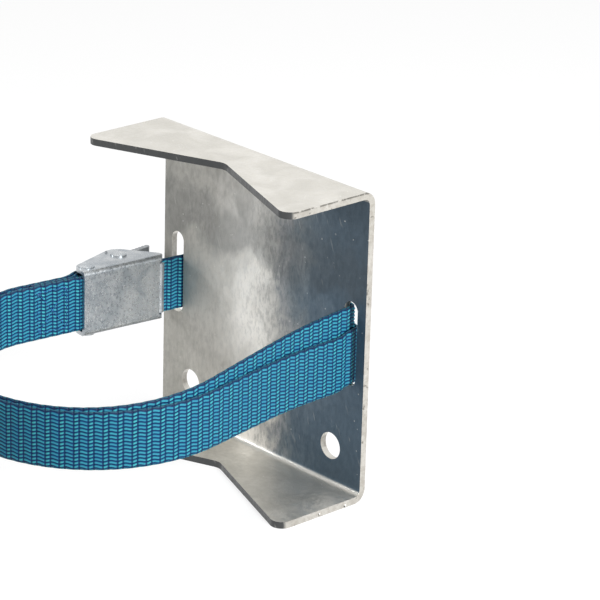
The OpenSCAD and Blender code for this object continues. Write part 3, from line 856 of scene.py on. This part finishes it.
def cast_zinc():
    material, tree, surface, link = new_material("cast_zinc")
    place = object_place(tree)
    zinc = use_group(tree, cloudy_zinc, Place=place, Cloud_Scale=150.0, Run=1.0)
    lines = use_group(tree, scratches, Place=place, Turn=(1.2, 0.2, 0.4), Fineness=800.0)["Lines"]
    tone = mix_colours(tree, zinc["Mottle"], linear("#92969a"), linear("#a6aaad"))
    tone = mix_colours(tree, maths(tree, "MULTIPLY", lines, 0.6), tone, linear("#dcdddd"))
    link(tone, surface.inputs["Base Color"])
    surface.inputs["Metallic"].default_value = 0.7
    link(ramp_between(tree, zinc["Mottle"], 0.0, 1.0, 0.34, 0.48), surface.inputs["Roughness"])
    link(add(tree, "Bump", Strength=0.3, Distance=0.2 * MM, Height=zinc["Relief"]).outputs[0],
         surface.inputs["Normal"])
    return material


def spring_wire():
    material, tree, surface, link = new_material("spring_wire")
    place = object_place(tree)
    drawn = noise(tree, place, 1500.0, 2.0)
    link(mix_colours(tree, drawn, linear("#63676b"), linear("#8d9195")), surface.inputs["Base Color"])
    surface.inputs["Metallic"].default_value = 0.9
    link(ramp_between(tree, drawn, 0.3, 0.7, 0.22, 0.36), surface.inputs["Roughness"])
    return material


plated = plated_steel()
for node_name in ("buckle_frame", "strap_bar", "cam_pin"):
    dress(node_name, plated)
dress("cam_lever", cast_zinc())
print("buckle dressed")

# %% [markdown]
# ## The spring
#
# The spring's upper leg is hooked in the frame and its lower leg lies under the lever. Here its wire is the
# solid's own, copied and shaded round.

# %% Spring
PIN_H = WEB_T + 7.5


def wound_wire(name):
    """The spring's wire with its facets shaded round."""
    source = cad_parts["cam_spring"]
    shape = bmesh.new()
    shape.from_mesh(source.data)
    bmesh.ops.remove_doubles(shape, verts=shape.verts, dist=0.001 * MM)
    shape.transform(source.matrix_world)
    mesh = bpy.data.meshes.new(name)
    shape.to_mesh(mesh)
    shape.free()
    mesh.polygons.foreach_set("use_smooth", [True] * len(mesh.polygons))
    thing = bpy.data.objects.new(name, mesh)
    bpy.context.collection.objects.link(thing)
    return thing


def on_pin(height):
    p = left_pt(PIN_OUT, PIN_H)
    return tuple(Vector((p.x, p.y, p.z - HOLE_UP + height)) * MM)


spring = wound_wire("wound_spring")
spring.data.materials.append(spring_wire())
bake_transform(spring)
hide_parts("cam_spring")
print("spring:", len(spring.data.polygons), "faces, round", [round(v, 4) for v in on_pin(0)])

# %% [markdown]
# ## Frozen drops of zinc
#
# Where a dipped part drains, the last zinc freezes in small beads. Two of them sit low on the cut end.

# %% Zinc beads
BEADS = [((65.0, -11.0, -19.2), 0.9), ((65.0, -26.0, -18.9), 0.7)]


def zinc_beads(name):
    shape = bmesh.new()
    for place, r in BEADS:
        flat = Matrix.Translation(Vector(place) * MM) @ Matrix.Diagonal((0.6, 1.2, 0.8, 1.0))
        bmesh.ops.create_uvsphere(shape, u_segments=20, v_segments=12, radius=r * MM, matrix=flat)
    mesh = bpy.data.meshes.new(name)
    shape.to_mesh(mesh)
    shape.free()
    mesh.polygons.foreach_set("use_smooth", [True] * len(mesh.polygons))
    thing = bpy.data.objects.new(name, mesh)
    bpy.context.collection.objects.link(thing)
    return thing


beads = zinc_beads("zinc_beads")
beads.data.materials.append(galvanised)
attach(beads, "holder")
print("beads:", len(BEADS))

# %% [markdown]
# ## Floor and light
#
# A pale floor, a soft key from the right and above, and a small weak light at the front left. Faces towards
# the right and the top are bright, and faces towards the front stay darker, which models the fold of the
# channel. The small light is there for the inside of the web, whose dull zinc mirrors it softly. The
# background is white to the camera and in reflections, without lighting the object more.

# %% Stage
WORLD_LIGHT = 0.07
FLOOR_LIFT = 0.8


def seen_directly(tree):
    path = add(tree, "LightPath").outputs
    return maths(tree, "MAXIMUM", path["Is Camera Ray"],
                 maths(tree, "MAXIMUM", path["Is Glossy Ray"], path["Is Transmission Ray"]))


def set_world():
    world = bpy.data.worlds.new("studio")
    bpy.context.scene.world = world
    world.use_nodes = True
    tree = world.node_tree
    background = tree.nodes["Background"]
    background.inputs["Color"].default_value = (1, 1, 1, 1)
    strength = maths(tree, "MULTIPLY_ADD", seen_directly(tree), 1 - WORLD_LIGHT, WORLD_LIGHT)
    tree.links.new(strength, background.inputs["Strength"])


def add_floor():
    bpy.ops.mesh.primitive_plane_add(size=8, location=(0, 0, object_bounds()[0][2]))
    floor = bpy.context.object
    floor.name = "floor"
    material, tree, surface, link = new_material("floor_paper")
    surface.inputs["Base Color"].default_value = (0.25, 0.25, 0.25, 1)
    surface.inputs["Roughness"].default_value = 0.9
    surface.inputs["Specular IOR Level"].default_value = 0.0
    surface.inputs["Emission Color"].default_value = (1, 1, 1, 1)
    link(maths(tree, "MULTIPLY", seen_directly(tree), FLOOR_LIFT), surface.inputs["Emission Strength"])
    floor.data.materials.append(material)
    floor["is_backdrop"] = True
    return floor


def add_softbox(name, place, size, power):
    lamp = bpy.data.objects.new(name, bpy.data.lights.new(name, "AREA"))
    lamp.data.shape = "DISK"
    lamp.data.size = size
    lamp.data.energy = power
    lamp.location = place
    lamp.rotation_mode = "QUATERNION"
    lamp.rotation_quaternion = (AIM - Vector(place)).to_track_quat("-Z", "Y")
    bpy.context.collection.objects.link(lamp)
    return lamp


bpy.context.scene.view_settings.view_transform = "Standard"
set_world()
floor = add_floor()
add_softbox("key", (1.45, -0.12, 0.8), 0.6, 27)
add_softbox("top", (0.1, 0.15, 1.5), 0.8, 14)
add_softbox("left_fill", (-0.86, -0.84, 0.5), 0.22, 3.2)
